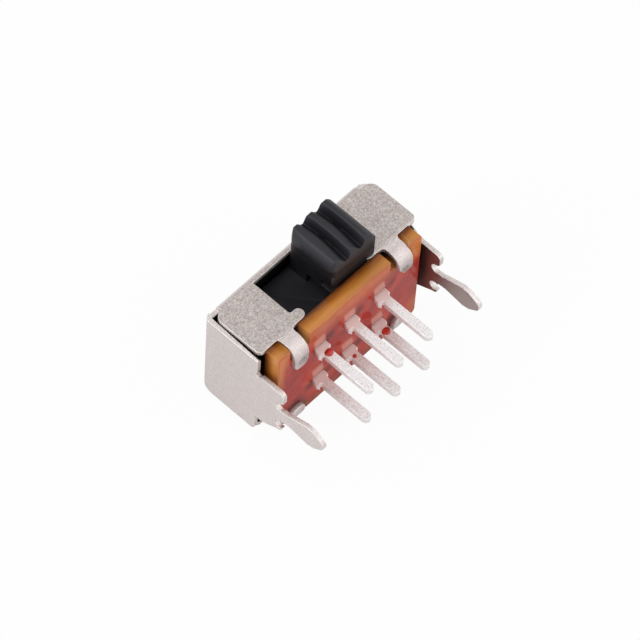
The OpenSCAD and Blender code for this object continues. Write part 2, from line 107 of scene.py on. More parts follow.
class Shader:
    """A material's node tree with short calls for the nodes that the materials below use."""

    def __init__(self, name):
        self.mat = bpy.data.materials.new(name)
        self.mat.use_nodes = True
        self.tree = self.mat.node_tree
        self.tree.nodes.clear()
        out = self.tree.nodes.new("ShaderNodeOutputMaterial")
        self.bsdf = self.tree.nodes.new("ShaderNodeBsdfPrincipled")
        self.tree.links.new(self.bsdf.outputs[0], out.inputs["Surface"])
        coord = self.tree.nodes.new("ShaderNodeTexCoord")
        self.mm = self.scaled(coord.outputs["Object"], (1 / MM,) * 3)
        self.x, self.y, self.z = self.node("ShaderNodeSeparateXYZ", Vector=self.mm).outputs
        normal = self.tree.nodes.new("ShaderNodeNewGeometry").outputs["True Normal"]
        self.facing_x, self.facing_y, self.facing_z = self.node("ShaderNodeSeparateXYZ", Vector=normal).outputs

    def node(self, kind, **inputs):
        n = self.tree.nodes.new(kind)
        for key, value in inputs.items():
            self.put(n.inputs[key.replace("_", " ")], value)
        return n

    def put(self, socket, value):
        if isinstance(value, bpy.types.NodeSocket):
            self.tree.links.new(value, socket)
        else:
            socket.default_value = value

    def math(self, op, a, b=0.0):
        n = self.tree.nodes.new("ShaderNodeMath")
        n.operation = op
        self.put(n.inputs[0], a)
        self.put(n.inputs[1], b)
        return n.outputs[0]

    def times(self, a, b):
        return self.math("MULTIPLY", a, b)

    def most(self, a, b):
        return self.math("MAXIMUM", a, b)

    def attribute(self, name):
        n = self.tree.nodes.new("ShaderNodeAttribute")
        n.attribute_type, n.attribute_name = "GEOMETRY", name
        return n.outputs["Fac"]

    def scaled(self, vector, factors):
        n = self.node("ShaderNodeMapping", Vector=vector)
        n.inputs["Scale"].default_value = factors
        return n.outputs[0]

    def noise(self, scale, detail, rough, stretch=None):
        """Noise with scale features a mm, drawn out along the axes whose stretch factor is small."""
        vector = self.scaled(self.mm, stretch) if stretch else self.mm
        n = self.node("ShaderNodeTexNoise", Vector=vector, Scale=scale, Detail=detail, Roughness=rough)
        return n.outputs["Fac"]

    def ramp(self, fac, *stops):
        """Blends between stops, each a position from 0 to 1 with a colour or a number."""
        n = self.node("ShaderNodeValToRGB", Fac=fac)
        e = n.color_ramp.elements
        while len(e) < len(stops):
            e.new(0.5)
        for k, (at, colour) in enumerate(stops):
            e[k].position = at
            e[k].color = (*colour, 1) if isinstance(colour, tuple) else (colour,) * 3 + (1,)
        return n.outputs[0]

    def mix(self, fac, a, b, blend="MIX"):
        n = self.tree.nodes.new("ShaderNodeMix")
        n.data_type, n.blend_type = "RGBA", blend
        for key, value in (("Factor", fac), ("A", a), ("B", b)):
            socket = next(s for s in n.inputs if s.name == key and s.enabled)
            self.put(socket, (*value, 1) if isinstance(value, tuple) else value)
        return next(s for s in n.outputs if s.enabled)

    def between(self, value, lo, hi):
        """0 at lo and 1 at hi, level beyond them and smooth in between. lo may be the higher number."""
        n = self.node("ShaderNodeMapRange", Value=value, From_Min=lo, From_Max=hi)
        n.interpolation_type = "SMOOTHSTEP"
        return n.outputs[0]

    def near(self, point, outer, inner):
        """1 within the inner distance of a point, 0 beyond the outer one."""
        n = self.tree.nodes.new("ShaderNodeVectorMath")
        n.operation = "DISTANCE"
        self.put(n.inputs[0], self.mm)
        n.inputs[1].default_value = point
        return self.between(n.outputs["Value"], outer, inner)

    def bump(self, *layers):
        """Layers are (height, distance), and the result is the shader's normal."""
        normal = None
        for height, distance in layers:
            n = self.node("ShaderNodeBump", Height=height, Distance=distance * MM, Strength=1.0)
            if normal is not None:
                self.put(n.inputs["Normal"], normal)
            normal = n.outputs[0]
        self.put(self.bsdf.inputs["Normal"], normal)

    def set(self, **values):
        for key, value in values.items():
            self.put(self.bsdf.inputs[key.replace("_", " ")], (*value, 1) if isinstance(value, tuple) else value)


def lin(r, g, b):
    """Linear colour from 0-255 screen values."""

    def one(v):
        v /= 255
        return v / 12.92 if v <= 0.04045 else ((v + 0.055) / 1.055) ** 2.4

    return one(r), one(g), one(b)


# ---------------------------------------------------------------- materials

# Each worn tip of the two upper tabs: its place, and the distances where the wear ends and is full.
TAB_TIPS = ((-3.35, -2.3, 5.45), (3.35, -2.3, 5.45))
TIP_REACH = (0.42, 0.25)


def frame_plate():
    """Tin-plated sheet: finely mottled, coarser on top, streaked where it was sheared. Painted shade darkens the upward
    faces of the top plate, the tabs and the back wall's inner face. A painted reflection of the board reddens the +X
    end plate's inner face, and the rounded rims carry a painted highlight.
    """
    s = Shader("tin plate")
    cut, rim = s.attribute("cut"), s.attribute("rim")
    on_top = s.times(s.between(s.facing_z, 0.75, 0.98), s.between(s.y, -1.5, -1.0))
    cloud = s.noise(2.2, 4, 0.6)
    grain = s.noise(13, 2, 0.5, (0.9, 1.1, 1))
    speck = s.between(s.noise(11, 2, 0.5, (1, 0.7, 1)), 0.5, 0.85)
    colour = s.ramp(cloud, (0.32, lin(212, 203, 201)), (0.68, lin(222, 214, 212)))
    mottle = s.ramp(grain, (0.3, lin(196, 186, 184)), (0.7, lin(238, 230, 228)))
    colour = s.mix(0.6, colour, mottle)
    # Painted shade: the upward faces of the top plate take a darker tone, with a finer mottle of its own, in place of
    # the dimmer reflection they get.
    top_shaded_grain = s.ramp(grain, (0.3, lin(156, 147, 143)), (0.5, lin(181, 172, 168)), (0.7, lin(205, 197, 193)))
    colour = s.mix(s.times(on_top, 0.92), colour, top_shaded_grain)
    speck_share = s.ramp(on_top, (0, 0.15), (1, 0.7))
    colour = s.mix(s.times(speck, speck_share), colour, lin(224, 219, 216))

    # Painted reflection and shade: the +X end plate's inner face is dimmed and tinted red towards the board, as if it
    # mirrored the board.
    end_inside = s.times(s.between(s.facing_x, -0.5, -0.9), s.between(s.x, 5.0, 5.1))
    along_arm = s.between(s.y, -2.2, -4.6)
    board_reflection_shade = s.ramp(along_arm, (0, lin(160, 112, 104)), (0.35, lin(158, 140, 137)), (1, lin(178, 166, 163)))
    colour = s.mix(end_inside, colour, board_reflection_shade)
    # Painted shade: the back wall's inner face, inside the opening under the top plate, is painted near black.
    back_inside_shade = s.times(s.between(s.facing_y, -0.5, -0.9), s.between(s.y, 1.2, 1.5))
    colour = s.mix(s.times(back_inside_shade, 0.92), colour, lin(34, 30, 28))

    tips = s.most(*(s.near(place, *TIP_REACH) for place in TAB_TIPS))
    worn = s.ramp(s.noise(8, 3, 0.6), (0.4, lin(112, 106, 105)), (0.6, lin(206, 198, 196)))
    colour = s.mix(s.times(tips, 0.8), colour, worn)
    streak = s.noise(14, 2, 0.5, (1, 1, 0.15))
    sheared = s.ramp(streak, (0.3, lin(196, 187, 184)), (0.7, lin(230, 224, 221)))
    colour = s.mix(cut, colour, sheared)
    # Painted highlight: the rounded rims are paler.
    colour = s.mix(s.times(rim, 0.5), colour, lin(240, 236, 234))
    # Painted shade: the tabs are made a little darker to dim their highlight.
    tabs = s.times(s.between(s.y, -1.2, -1.6), s.between(s.z, 5.0, 5.5))
    colour = s.mix(tabs, colour, lin(242, 240, 240), "MULTIPLY")

    matt = s.most(s.times(s.most(cut, tabs), 0.56), s.times(on_top, 0.6))
    rough = s.most(s.ramp(cloud, (0.3, 0.46), (0.7, 0.38)), matt)
    s.set(Base_Color=colour, Metallic=1.0, Roughness=rough)
    s.bump((s.noise(5, 3, 0.5), 0.003), (grain, 0.0025))
    return s.mat


# Dark spots of the laminate: x, z, reach and strength.
DARK_SPOTS = (
    (-3.55, 1.05, 0.95, 0.9),
    (-2.5, 1.85, 0.5, 0.6),
    (-1.43, 4.93, 0.5, 0.75),
    (0.58, 4.84, 0.5, 0.75),
    (2.8, 4.74, 0.5, 0.6),
    (-1.3, 1.9, 0.5, 0.5),
    (0.7, 1.92, 0.5, 0.7),
    (2.95, 1.35, 0.7, 0.8),
)
# The share of a spot's reach within which it is at full strength.
SPOT_CORE = 0.2
# Painted reflections of the roots, drawn as pale marks above the two rows of roots: the heights they start at, and
# their shift and lean along x.
MARK_FEET = (2.28, 4.86)
MARK_SHIFT, MARK_LEAN = 0.03, 0.2
# Each pair is where a mark, or the row of marks, has faded out and where it is full.
MARK_SIDE, MARK_BOTTOM, MARK_TOP = (0.44, 0.26), (0.0, 0.05), (0.85, 0.4)
MARK_ROW_END = (2.75, 2.65)
MARK_STRENGTH = 0.55


def root_marks(s):
    """Pale marks on the board that stand for the mirror images of the six roots in its gloss."""
    mark = None
    for foot in MARK_FEET:
        rise = s.math("SUBTRACT", s.z, foot)
        along = s.math("ADD", s.math("SUBTRACT", s.x, MARK_SHIFT - PITCH / 2), s.times(rise, MARK_LEAN))
        off = s.math("ABSOLUTE", s.math("SUBTRACT", s.math("FLOORED_MODULO", along, PITCH), PITCH / 2))
        high = s.times(s.between(rise, *MARK_BOTTOM), s.between(rise, *MARK_TOP))
        one = s.times(s.between(off, *MARK_SIDE), high)
        mark = one if mark is None else s.most(mark, one)
    within_rows = s.between(s.math("ABSOLUTE", s.x), *MARK_ROW_END)
    return s.times(s.times(mark, within_rows), MARK_STRENGTH)


def phenolic():
    """Glossy laminate: red-brown and spotted on the front, amber on the upper and -X edges. The +X end has painted
    shade, and the roots have painted reflections on the front.
    """
    s = Shader("phenolic laminate")
    front_y, thick = board_lo[1], board_hi[1] - board_lo[1]
    left_face = s.between(s.times(s.facing_x, -1), 0.2, 0.85)
    shaded_right_face = s.between(s.facing_x, 0.2, 0.85)
    edge = s.most(s.between(s.facing_z, 0.2, 0.85), left_face)

    depth = s.math("DIVIDE", s.math("SUBTRACT", s.y, front_y), thick)
    fibre = s.noise(0.9, 4, 0.6, (1, 6, 1))
    wavy_depth = s.math("ADD", depth, s.times(s.math("SUBTRACT", fibre, 0.5), 0.32))
    amber = s.ramp(
        wavy_depth,
        (0.0, lin(192, 104, 72)),
        (0.12, lin(204, 132, 78)),
        (0.35, lin(204, 138, 68)),
        (0.6, lin(178, 108, 42)),
        (0.85, lin(122, 66, 24)),
        (1.0, lin(70, 34, 12)),
    )
    low = s.between(s.z, 5.4, 3.2)
    amber = s.mix(s.times(low, 0.75), amber, lin(172, 70, 22))

    cloud = s.noise(0.7, 4, 0.6)
    front = s.ramp(cloud, (0.3, lin(138, 18, 12)), (0.5, lin(172, 42, 28)), (0.7, lin(196, 68, 46)))
    top_band = s.between(s.z, 5.0, 6.45)
    front = s.mix(s.times(top_band, 0.7), front, lin(206, 116, 66))
    right_end = s.times(s.between(s.x, 3.75, 4.3), s.between(s.z, 4.4, 5.9))
    left_end = s.times(s.between(s.x, -4.2, -4.6), s.between(s.z, 2.4, 5.6))
    front = s.mix(s.times(s.most(right_end, left_end), 0.85), front, lin(204, 122, 52))
    foot_band = s.between(s.z, 0.8, 0.1)
    front = s.mix(s.times(foot_band, 0.6), front, lin(150, 76, 30))
    low_right = s.times(s.between(s.x, 3.9, 4.5), s.between(s.z, 2.4, 1.0))
    front = s.mix(s.times(low_right, 0.7), front, lin(186, 96, 38))
    for x, z, reach, strength in DARK_SPOTS:
        spot = s.near((x, front_y, z), reach, reach * SPOT_CORE)
        front = s.mix(s.times(spot, strength), front, lin(72, 4, 3))
    # Painted shade: the +X end face, turned away from the key lamp, is painted dark.
    front = s.mix(s.times(shaded_right_face, 0.8), front, lin(60, 16, 8))
    front = s.mix(root_marks(s), front, lin(226, 176, 158))

    s.set(
        Base_Color=s.mix(edge, front, amber),
        Roughness=0.35,
        Specular_IOR_Level=0.06,
        Coat_Weight=0.32,
        Coat_Roughness=0.05,
    )
    s.bump((s.noise(2.5, 3, 0.5), 0.003))
    return s.mat


def terminal_tin():
    """Tinned brass: plain and pinkish near the board, speckled and uneven along the pins, with a painted highlight on
    the rounded rims.
    """
    s = Shader("tinned brass")
    pin = s.between(s.y, -2.3, -2.9)
    cloud = s.noise(3.2, 3, 0.6)
    speckle = s.noise(11, 3, 0.62)
    tin = s.ramp(speckle, (0.3, lin(204, 198, 199)), (0.46, lin(236, 231, 231)), (0.62, lin(250, 248, 248)))
    colour = s.mix(pin, lin(246, 226, 222), tin)
    # Painted highlight: the rounded rims are paler.
    s.set(
        Base_Color=s.mix(s.times(s.attribute("rim"), 0.5), colour, lin(250, 248, 247)),
        Metallic=s.ramp(pin, (0, 0.15), (1, 0.4)),
        Roughness=s.ramp(cloud, (0.3, 0.42), (0.7, 0.32)),
    )
    uneven = s.noise(4.5, 4, 0.6)
    s.bump((s.times(uneven, pin), 0.008), (s.times(speckle, pin), 0.003))
    return s.mat


def black_plastic():
    """Satin black. The knob's upper and -X flanks, which face the key lamp, carry a painted grey sheen, and the neck
    below the knob carries painted shade.
    """
    s = Shader("black plastic")
    haze = s.noise(3, 3, 0.6)
    plain = s.ramp(haze, (0.3, (0.004, 0.004, 0.005)), (0.7, (0.006, 0.006, 0.0075)))
    # Painted sheen: the upper and -X facing faces of the knob are lighter.
    painted_sheen = s.times(s.between(s.facing_x, 0.25, -0.1), s.between(s.z, 7.6, 8.1))
    # Painted shade: the neck below the knob is painted darkest.
    neck_shade = s.between(s.z, 7.1, 6.95)
    colour = s.mix(painted_sheen, plain, (0.015, 0.0145, 0.018))
    s.set(
        Base_Color=s.mix(neck_shade, colour, (0.0015, 0.0015, 0.002)),
        Roughness=s.ramp(haze, (0.3, 0.55), (0.7, 0.47)),
        Specular_IOR_Level=0.45,
        Specular_Tint=(0.92, 0.9, 1.0),
    )
    s.bump((s.noise(24, 2, 0.5), 0.0012))
    return s.mat


def red_lacquer():
    s = Shader("red lacquer")
    thick = s.noise(5, 2, 0.5)
    s.set(
        Base_Color=s.ramp(thick, (0.3, lin(150, 24, 16)), (0.7, lin(214, 52, 34))),
        Roughness=0.3,
        Coat_Weight=0.5,
        Coat_Roughness=0.08,
    )
    s.bump((thick, 0.004))
    return s.mat


def plain_metal(name, colour, rough):
    s = Shader(name)
    dim = tuple(c * 0.8 for c in colour)
    wear = s.ramp(s.noise(7, 3, 0.6), (0.3, dim), (0.7, colour))
    s.set(Base_Color=wear, Metallic=1.0, Roughness=rough)
    return s.mat


MATERIALS = {
    "frame_plate": frame_plate(),
    "phenolic": phenolic(),
    "terminal_tin": terminal_tin(),
    "black_plastic": black_plastic(),
    "contact_silver": plain_metal("silvered bronze", lin(214, 208, 200), 0.3),
    "spring_steel": plain_metal("spring steel", lin(180, 180, 184), 0.25),
}
LACQUER = red_lacquer()

# ---------------------------------------------------------------- mesh helpers

WELD = 0.006
FLAT_DEGREES, SHARP_DEGREES = 0.5, 25
# A coordinate counts as being at a place when it is this close.
CLOSE = 0.01


def node_mesh(node):
    """A CAD node's surface with its triangles joined into flat faces."""
    bm = bmesh.new()
    bm.from_mesh(frame["nodes"][node].data)
    bmesh.ops.remove_doubles(bm, verts=bm.verts, dist=WELD * MM)
    flaps = {e.link_faces[0] for e in bm.edges if len(e.link_faces) == 1}
    bmesh.ops.delete(bm, geom=list(flaps), context="FACES")
    bmesh.ops.dissolve_degenerate(bm, dist=WELD * MM / 4, edges=bm.edges)
    bmesh.ops.dissolve_limit(bm, angle_limit=math.radians(FLAT_DEGREES), verts=bm.verts, edges=bm.edges)
    return bm


def sharp_edges(bm):
    sharp = math.radians(SHARP_DEGREES)
    return [e for e in bm.edges if len(e.link_faces) == 2 and e.calc_face_angle(0) > sharp]


def edges_at(bm, **where):
    """Sharp edges whose two ends lie at the given x, y or z."""

    def fits(edge):
        for letter, value in where.items():
            if not all(abs(getattr(v.co, letter) / MM - value) <= CLOSE for v in edge.verts):
                return False
        return True

    return [e for e in sharp_edges(bm) if fits(e)]


def bevelled(bm, edges, width, segments=2, rim=1.0):
    """Rounds these edges, and sets "rim" on the new faces."""
    layer = bm.faces.layers.float.get("rim") or bm.faces.layers.float.new("rim")
    made = bmesh.ops.bevel(
        bm,
        geom=edges,
        offset=width * MM,
        offset_type="OFFSET",
        segments=segments,
        profile=0.5,
        affect="EDGES",
        clamp_overlap=False,
    )
    for face in made["faces"]:
        face[layer] = rim
    bm.normal_update()


def quarter_turn(steps):
    return [math.pi / 2 * k / steps for k in range(steps + 1)]


def add_strip(bm, one, two):
    """The faces between two rings with the same number of points."""
    for k in range(len(one)):
        n = (k + 1) % len(one)
        bm.faces.new((one[k], one[n], two[n], two[k]))


def plain_piece(bm, name, body, material):
    mesh = bpy.data.meshes.new(name)
    for face in bm.faces:
        face.smooth = True
    bm.to_mesh(mesh)
    bm.free()
    piece = bpy.data.objects.new(name, mesh)
    bpy.context.scene.collection.objects.link(piece)
    mesh.materials.append(material)
    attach(piece, body)
    return piece


def replacement(bm, name, body, node):
    """The piece that is shown in place of a CAD node, with that node's material."""
    slot = SLOT_OF[node]
    piece = plain_piece(bm, name, body, MATERIALS[slot])
    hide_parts(node)
    return piece


def weighted(piece):
    """Flat faces stay flat and their rounded rims shade smoothly."""
    mod = piece.modifiers.new("weighted", "WEIGHTED_NORMAL")
    mod.weight, mod.keep_sharp = 100, False


# ---------------------------------------------------------------- frame

SHEET_ROUND = 0.02
# The chamfer along the inner top edge of each end plate, found by its height and length.
END_CHAMFER, END_TOP_Z, END_TOP_LENGTH = 0.13, 5.9, 2.0
# The top plate beyond COVER_FROM_X is carried on by COVER_OVER.
# The end plate's top corner in front of CORNER_Y goes back to CORNER_CUT_Y.
COVER_FROM_X, COVER_OVER = 4.65, SHEET + 0.02
CORNER_Y, CORNER_CUT_Y = -1.2, -0.5
# A ray from just inside a face meets the far side within FULL_SHEET, unless the face was sheared.
INSIDE_STEP, FULL_SHEET = 0.002, SHEET * 1.3


def point_inside(face):
    """The middle of the largest triangle of a face, which unlike its centre is always on it."""
    points = [v.co for v in face.verts]
    best = max(tessellate_polygon([points]), key=lambda t: area_tri(*(points[k] for k in t)))
    return sum((points[k] for k in best), Vector()) / 3


def mark_cut_faces(bm):
    """Sets "cut" to 1 on the faces that were sheared, which have more than the sheet's thickness behind them."""
    layer = bm.faces.layers.float.new("cut")
    tree = BVHTree.FromBMesh(bm)
    for face in bm.faces:
        inward = -face.normal
        hit = tree.ray_cast(point_inside(face) + inward * INSIDE_STEP * MM, inward)
        face[layer] = 0.0 if hit[0] is not None and hit[3] < FULL_SHEET * MM else 1.0


def cover_end(bm):
    """Carries the top plate's +X end over the end plate, whose top front corner is cut back under it."""
    inner, plate_under = plate_hi[0] - SHEET, plate_hi[2] - SHEET
    for v in bm.verts:
        x, y, z = v.co / MM
        if COVER_FROM_X < x < inner - CLOSE and z > plate_under - CLOSE:
            v.co.x += COVER_OVER * MM
        elif x > inner - CLOSE and z > END_TOP_Z and y < CORNER_Y:
            v.co.y = CORNER_CUT_Y * MM
    bm.normal_update()


def formed_frame():
    bm = node_mesh("frame")
    mark_cut_faces(bm)
    for inner_x in (plate_lo[0] + SHEET, plate_hi[0] - SHEET):
        tops = [e for e in edges_at(bm, x=inner_x) if min(v.co.z for v in e.verts) > END_TOP_Z * MM]
        tops = [e for e in tops if e.calc_length() > END_TOP_LENGTH * MM]
        bevelled(bm, tops, END_CHAMFER, segments=1, rim=0.0)
    cover_end(bm)
    bevelled(bm, sharp_edges(bm), SHEET_ROUND)
    for v in bm.verts:
        v.co.y = min(v.co.y, plate_hi[1] * MM)
    weighted(replacement(bm, "frame_sheet", "housing", "frame"))


# ---------------------------------------------------------------- terminal board

# The rounds of the board's front edge, its back edge and the edges of its slits.
FRONT_RIM, BACK_RIM, SLIT_RIM = 0.09, 0.025, 0.02
BOARD_RIM_STEPS, SLIT_RIM_STEPS = 5, 2
BOARD_WELD = 0.0005


def loops_at(bm, **where):
    """The closed loops of sharp edges at a plane, each a list of corners (x, z), the longest loop first."""
    left = dict.fromkeys(edges_at(bm, **where))
    loops = []
    while left:
        edge = next(iter(left))
        del left[edge]
        start, vert = edge.verts
        loop = [vert]
        while vert is not start:
            edge = next(e for e in vert.link_edges if e in left)
            del left[edge]
            vert = edge.other_vert(vert)
            loop.append(vert)
        loops.append([Vector((v.co.x, v.co.z)) / MM for v in loop])
    return sorted(loops, key=lambda loop: -sum((p - q).length for p, q in zip(loop, loop[1:] + loop[:1])))


def shifted(loop, distance):
    """A loop with each side moved inwards by a distance, or outwards if it is negative."""
    area = sum(p.x * q.y - q.x * p.y for p, q in zip(loop, loop[1:] + loop[:1]))
    turn = 1 if area > 0 else -1
    moved = []
    for k, p in enumerate(loop):
        into, away = (p - loop[k - 1]).normalized(), (loop[(k + 1) % len(loop)] - p).normalized()
        one, two = Vector((-into.y, into.x)) * turn, Vector((-away.y, away.x)) * turn
        moved.append(p + (one + two) * (distance / (1 + one.dot(two))))
    return moved


def board_wall(bm, loop, front_rim, back_rim, inwards, steps):
    """The wall along a loop from the front to the back of the board, with round rims.

    inwards is 1 where the board is inside the loop and -1 where it is outside. Returns the wall's front and back edges.
    """
    front = [(front_rim, board_lo[1], 1, a) for a in quarter_turn(steps)[::-1]]
    back = [(back_rim, board_hi[1], -1, a) for a in quarter_turn(steps)]
    rings = []
    for r, face_y, side, a in front + back:
        y = face_y + side * r * (1 - math.sin(a))
        ring = shifted(loop, inwards * r * (1 - math.cos(a)))
        rings.append([bm.verts.new((p.x * MM, y * MM, p.y * MM)) for p in ring])
    for one, two in zip(rings, rings[1:]):
        add_strip(bm, one, two)
    ends = []
    for ring in (rings[0], rings[-1]):
        ends.append([bm.edges.get((v, ring[(k + 1) % len(ring)])) for k, v in enumerate(ring)])
    return ends


def formed_board():
    """The board, built from the outlines of its front face, because the CAD mesh shades badly once bevelled."""
    cad = node_mesh("terminal_board")
    outline, *slits = loops_at(cad, y=board_lo[1])
    cad.free()
    bm = bmesh.new()
    walls = [board_wall(bm, outline, FRONT_RIM, BACK_RIM, 1, BOARD_RIM_STEPS)]
    walls += [board_wall(bm, slit, SLIT_RIM, SLIT_RIM, -1, SLIT_RIM_STEPS) for slit in slits]
    for end in (0, 1):
        edges = [edge for wall in walls for edge in wall[end]]
        bmesh.ops.triangle_fill(bm, edges=edges, use_beauty=True, use_dissolve=False)
    bmesh.ops.remove_doubles(bm, verts=bm.verts, dist=BOARD_WELD * MM)
    bmesh.ops.recalc_face_normals(bm, faces=bm.faces)
    weighted(replacement(bm, "laminate_board", "housing", "terminal_board"))


# ---------------------------------------------------------------- terminals and their lacquer

# At 0.03 the rims of two edges of a terminal would meet in one line and leave faces with no area.
TERMINAL_ROUND = 0.027
# Each drop: the row and place of its terminal, x, y, radius and height.
LACQUER_DROPS = (
    ("upper_left", -1.97, -2.64, 0.22, 0.07),
    ("lower_right", 1.98, -2.73, 0.22, 0.05),
    ("lower_middle", -0.05, -2.62, 0.11, 0.05),
)
DROP_POINTS, DROP_RINGS, DROP_SUNK = 28, 6, 0.01
# The ray that finds the top of a terminal starts here, above the whole housing.
DROP_RAY_Z = 8
# Waves in a drop's outline: how many go round, their turn and their share of the radius.
DROP_WAVES = ((2, 1, 0.07), (3, 0, 0.05))


def formed_terminal(node):
    bm = node_mesh(node)
    bevelled(bm, sharp_edges(bm), TERMINAL_ROUND)
    weighted(replacement(bm, node + "_pin", "housing", node))


def lacquer_drop(place, x, y, radius, height):
    """A flat drop of lacquer on top of a terminal, with an uneven outline."""
    terminal = node_mesh("terminal_" + place)
    top = BVHTree.FromBMesh(terminal).ray_cast(Vector((x, y, DROP_RAY_Z)) * MM, Vector((0, 0, -1)))[0].z
    terminal.free()
    bm = bmesh.new()
    rings = []
    for a in quarter_turn(DROP_RINGS)[:-1]:
        z = top + (height * math.sin(a) if a else -DROP_SUNK) * MM
        ring = []
        for k in range(DROP_POINTS):
            t = 2 * math.pi * k / DROP_POINTS
            wave = sum(share * math.sin(count * t + turn) for count, turn, share in DROP_WAVES)
            r = radius * math.cos(a) * (1 + wave)
            ring.append(bm.verts.new(((x + r * math.cos(t)) * MM, (y + r * math.sin(t)) * MM, z)))
        rings.append(ring)
    for one, two in zip(rings, rings[1:]):
        add_strip(bm, one, two)
    tip = bm.verts.new((x * MM, y * MM, top + height * MM))
    last = rings[-1]
    for k in range(DROP_POINTS):
        bm.faces.new((last[k], last[(k + 1) % DROP_POINTS], tip))
    bm.faces.new(rings[0][::-1])
    plain_piece(bm, "lacquer_drop_" + place, "housing", LACQUER)


# ---------------------------------------------------------------- slider

TOP_Z = plate_hi[2]
CARRIER_TOP = 5.4
SLIDER_ROUND, NECK_ROUND, NECK_STEPS = 0.015, 0.25, 6
# A corner this close to the neck's -X side belongs to it.
NECK_SIDE = 0.03
KNOB_SHARP_DEGREES = 38

# The knob's extents in x and y. Heights of the knob are above the top face of the frame.
KNOB_LEFT, KNOB_RIGHT = -0.26, 2.52
KNOB_FRONT, KNOB_BACK = -1.14, 1.67
KNOB_H = 2.05
# The CAD mesh ends and the detailed knob begins at KNOB_CUT, and the knob reaches into it by OVERLAP.
# Edges that end closer to the cut than CUT_MARGIN stay sharp.
KNOB_CUT, OVERLAP, CUT_MARGIN = 0.85, 0.01, 0.05
# The rounds of the knob's front and back upper edges, and of its corners on the -X side.
FRONT_ROUND, BACK_ROUND, CORNER_ROUND = 0.22, 0.12, 0.28

# The top: three crests, and two valleys that bow towards +X in the middle of their length.
CRESTS = (0.0, 0.96, 1.92)
VALLEYS = (0.62, 1.58)
VALLEY_DEPTH, VALLEY_BOW = 0.52, 0.13
# The bow is at its most a little behind the middle of the knob's depth, and the valleys are deepest there.
BOW_POWER = 0.75
DEPTH_SHARE, DEPTH_BY_BOW = 0.94, 0.14
# Powers of the fall into a valley, of the rise out of it and of the fall to the +X side, which ends at RIGHT_H.
FALL_POWER, FALL_BY_BOW, RISE_POWER = 1.15, 0.75, 0.85
RIGHT_POWER, RIGHT_BY_BOW = 1.7, 0.5
RIGHT_H = 1.5
# The small cut along the +X upper edge.
RIGHT_CUT_X, RIGHT_CUT_H = 0.01, 0.04

# The lobe on the -X side: how far it stands out, its lower edge, the start of its round, and its edge's rise in front.
LOBE_OUT, LOBE_EDGE, LOBE_TURN = 0.07, 1.14, 1.42
LOBE_RISE, LOBE_RISE_FROM = 0.22, 0.8
# The share of the knob's depth, from the back, over which the lobe grows to LOBE_OUT.
LOBE_FULL_AT = 0.25
# The lobe keeps to the -X side of LOBE_MIN_X, and stands out from the neck by at least LOBE_MIN_OUT.
LOBE_MIN_X, LOBE_MIN_OUT = -0.03, 0.01
# The small cut along the lobe's lower edge, and how far its underside falls towards the neck.
LIP_CUT_X, LIP_CUT_H = 0.012, 0.02
UNDER_FALL, UNDER_FALL_THIN = 0.03, 0.01

TOP_STEPS, LOBE_STEPS = 110, 16
FRONT_STATIONS, BACK_STATIONS, MIDDLE_STATIONS = 14, 10, 30


def quarter(r, d):
    """How far a round corner of radius r stands back at a distance d from its start."""
    return r - math.sqrt(max(r * r - (r - d) ** 2, 0.0)) if d < r else 0.0


def ease(u, power):
    """A smooth step from 0 to 1, which a higher power makes start later."""
    return (1 - math.cos(math.pi * min(max(u, 0.0), 1.0) ** power)) / 2


def ridge_height(x, t):
    """Height of the ridged top at x, and at t from 0 at the back to 1 at the front."""
    bow = math.sin(math.pi * t**BOW_POWER)
    valleys = [v + VALLEY_BOW * bow for v in VALLEYS]
    depth = VALLEY_DEPTH * (DEPTH_SHARE + DEPTH_BY_BOW * bow)
    for crest, valley, following in zip(CRESTS, valleys, CRESTS[1:]):
        if x <= crest:
            return KNOB_H
        if x <= valley:
            return KNOB_H - depth * ease((x - crest) / (valley - crest), FALL_POWER + FALL_BY_BOW * bow)
        if x <= following:
            return KNOB_H - depth * (1 - ease((x - valley) / (following - valley), RISE_POWER))
    u = (x - CRESTS[-1]) / (KNOB_RIGHT - CRESTS[-1])
    return KNOB_H - (KNOB_H - RIGHT_H) * u ** (RIGHT_POWER + RIGHT_BY_BOW * bow)


def knob_section(y):
    """Points (x, height) round the knob at one depth, from the foot of its +X side to the foot of its -X side."""
    t = (KNOB_BACK - y) / (KNOB_BACK - KNOB_FRONT)
    stand_back = quarter(CORNER_ROUND, y - KNOB_FRONT) + quarter(CORNER_ROUND, KNOB_BACK - y)
    out = LOBE_OUT * min(1.0, t / LOBE_FULL_AT)
    lobe = min(KNOB_LEFT + stand_back - out, LOBE_MIN_X)
    neck = max(KNOB_LEFT + stand_back, lobe + LOBE_MIN_OUT)
    edge = LOBE_EDGE + LOBE_RISE * ease((t - LOBE_RISE_FROM) / (1 - LOBE_RISE_FROM), 1)
    foot = KNOB_CUT - OVERLAP
    points = [(KNOB_RIGHT, h) for h in (foot, (KNOB_CUT + RIGHT_H) / 2, RIGHT_H - RIGHT_CUT_H)]
    for k in range(TOP_STEPS + 1):
        x = (KNOB_RIGHT - RIGHT_CUT_X) * (1 - k / TOP_STEPS)
        points.append((x, ridge_height(x, t)))
    for a in quarter_turn(LOBE_STEPS)[1:]:
        points.append((lobe * math.sin(a), LOBE_TURN + (KNOB_H - LOBE_TURN) * math.cos(a)))
    points += [(lobe, (LOBE_TURN + edge) / 2), (lobe, edge + LIP_CUT_H), (lobe + LIP_CUT_X, edge)]
    under = UNDER_FALL if out > UNDER_FALL else UNDER_FALL_THIN
    points += [(neck, edge - under), (neck, foot)]
    roof = KNOB_H - quarter(FRONT_ROUND, y - KNOB_FRONT) - quarter(BACK_ROUND, KNOB_BACK - y)
    return [(x, min(h, roof)) for x, h in points]


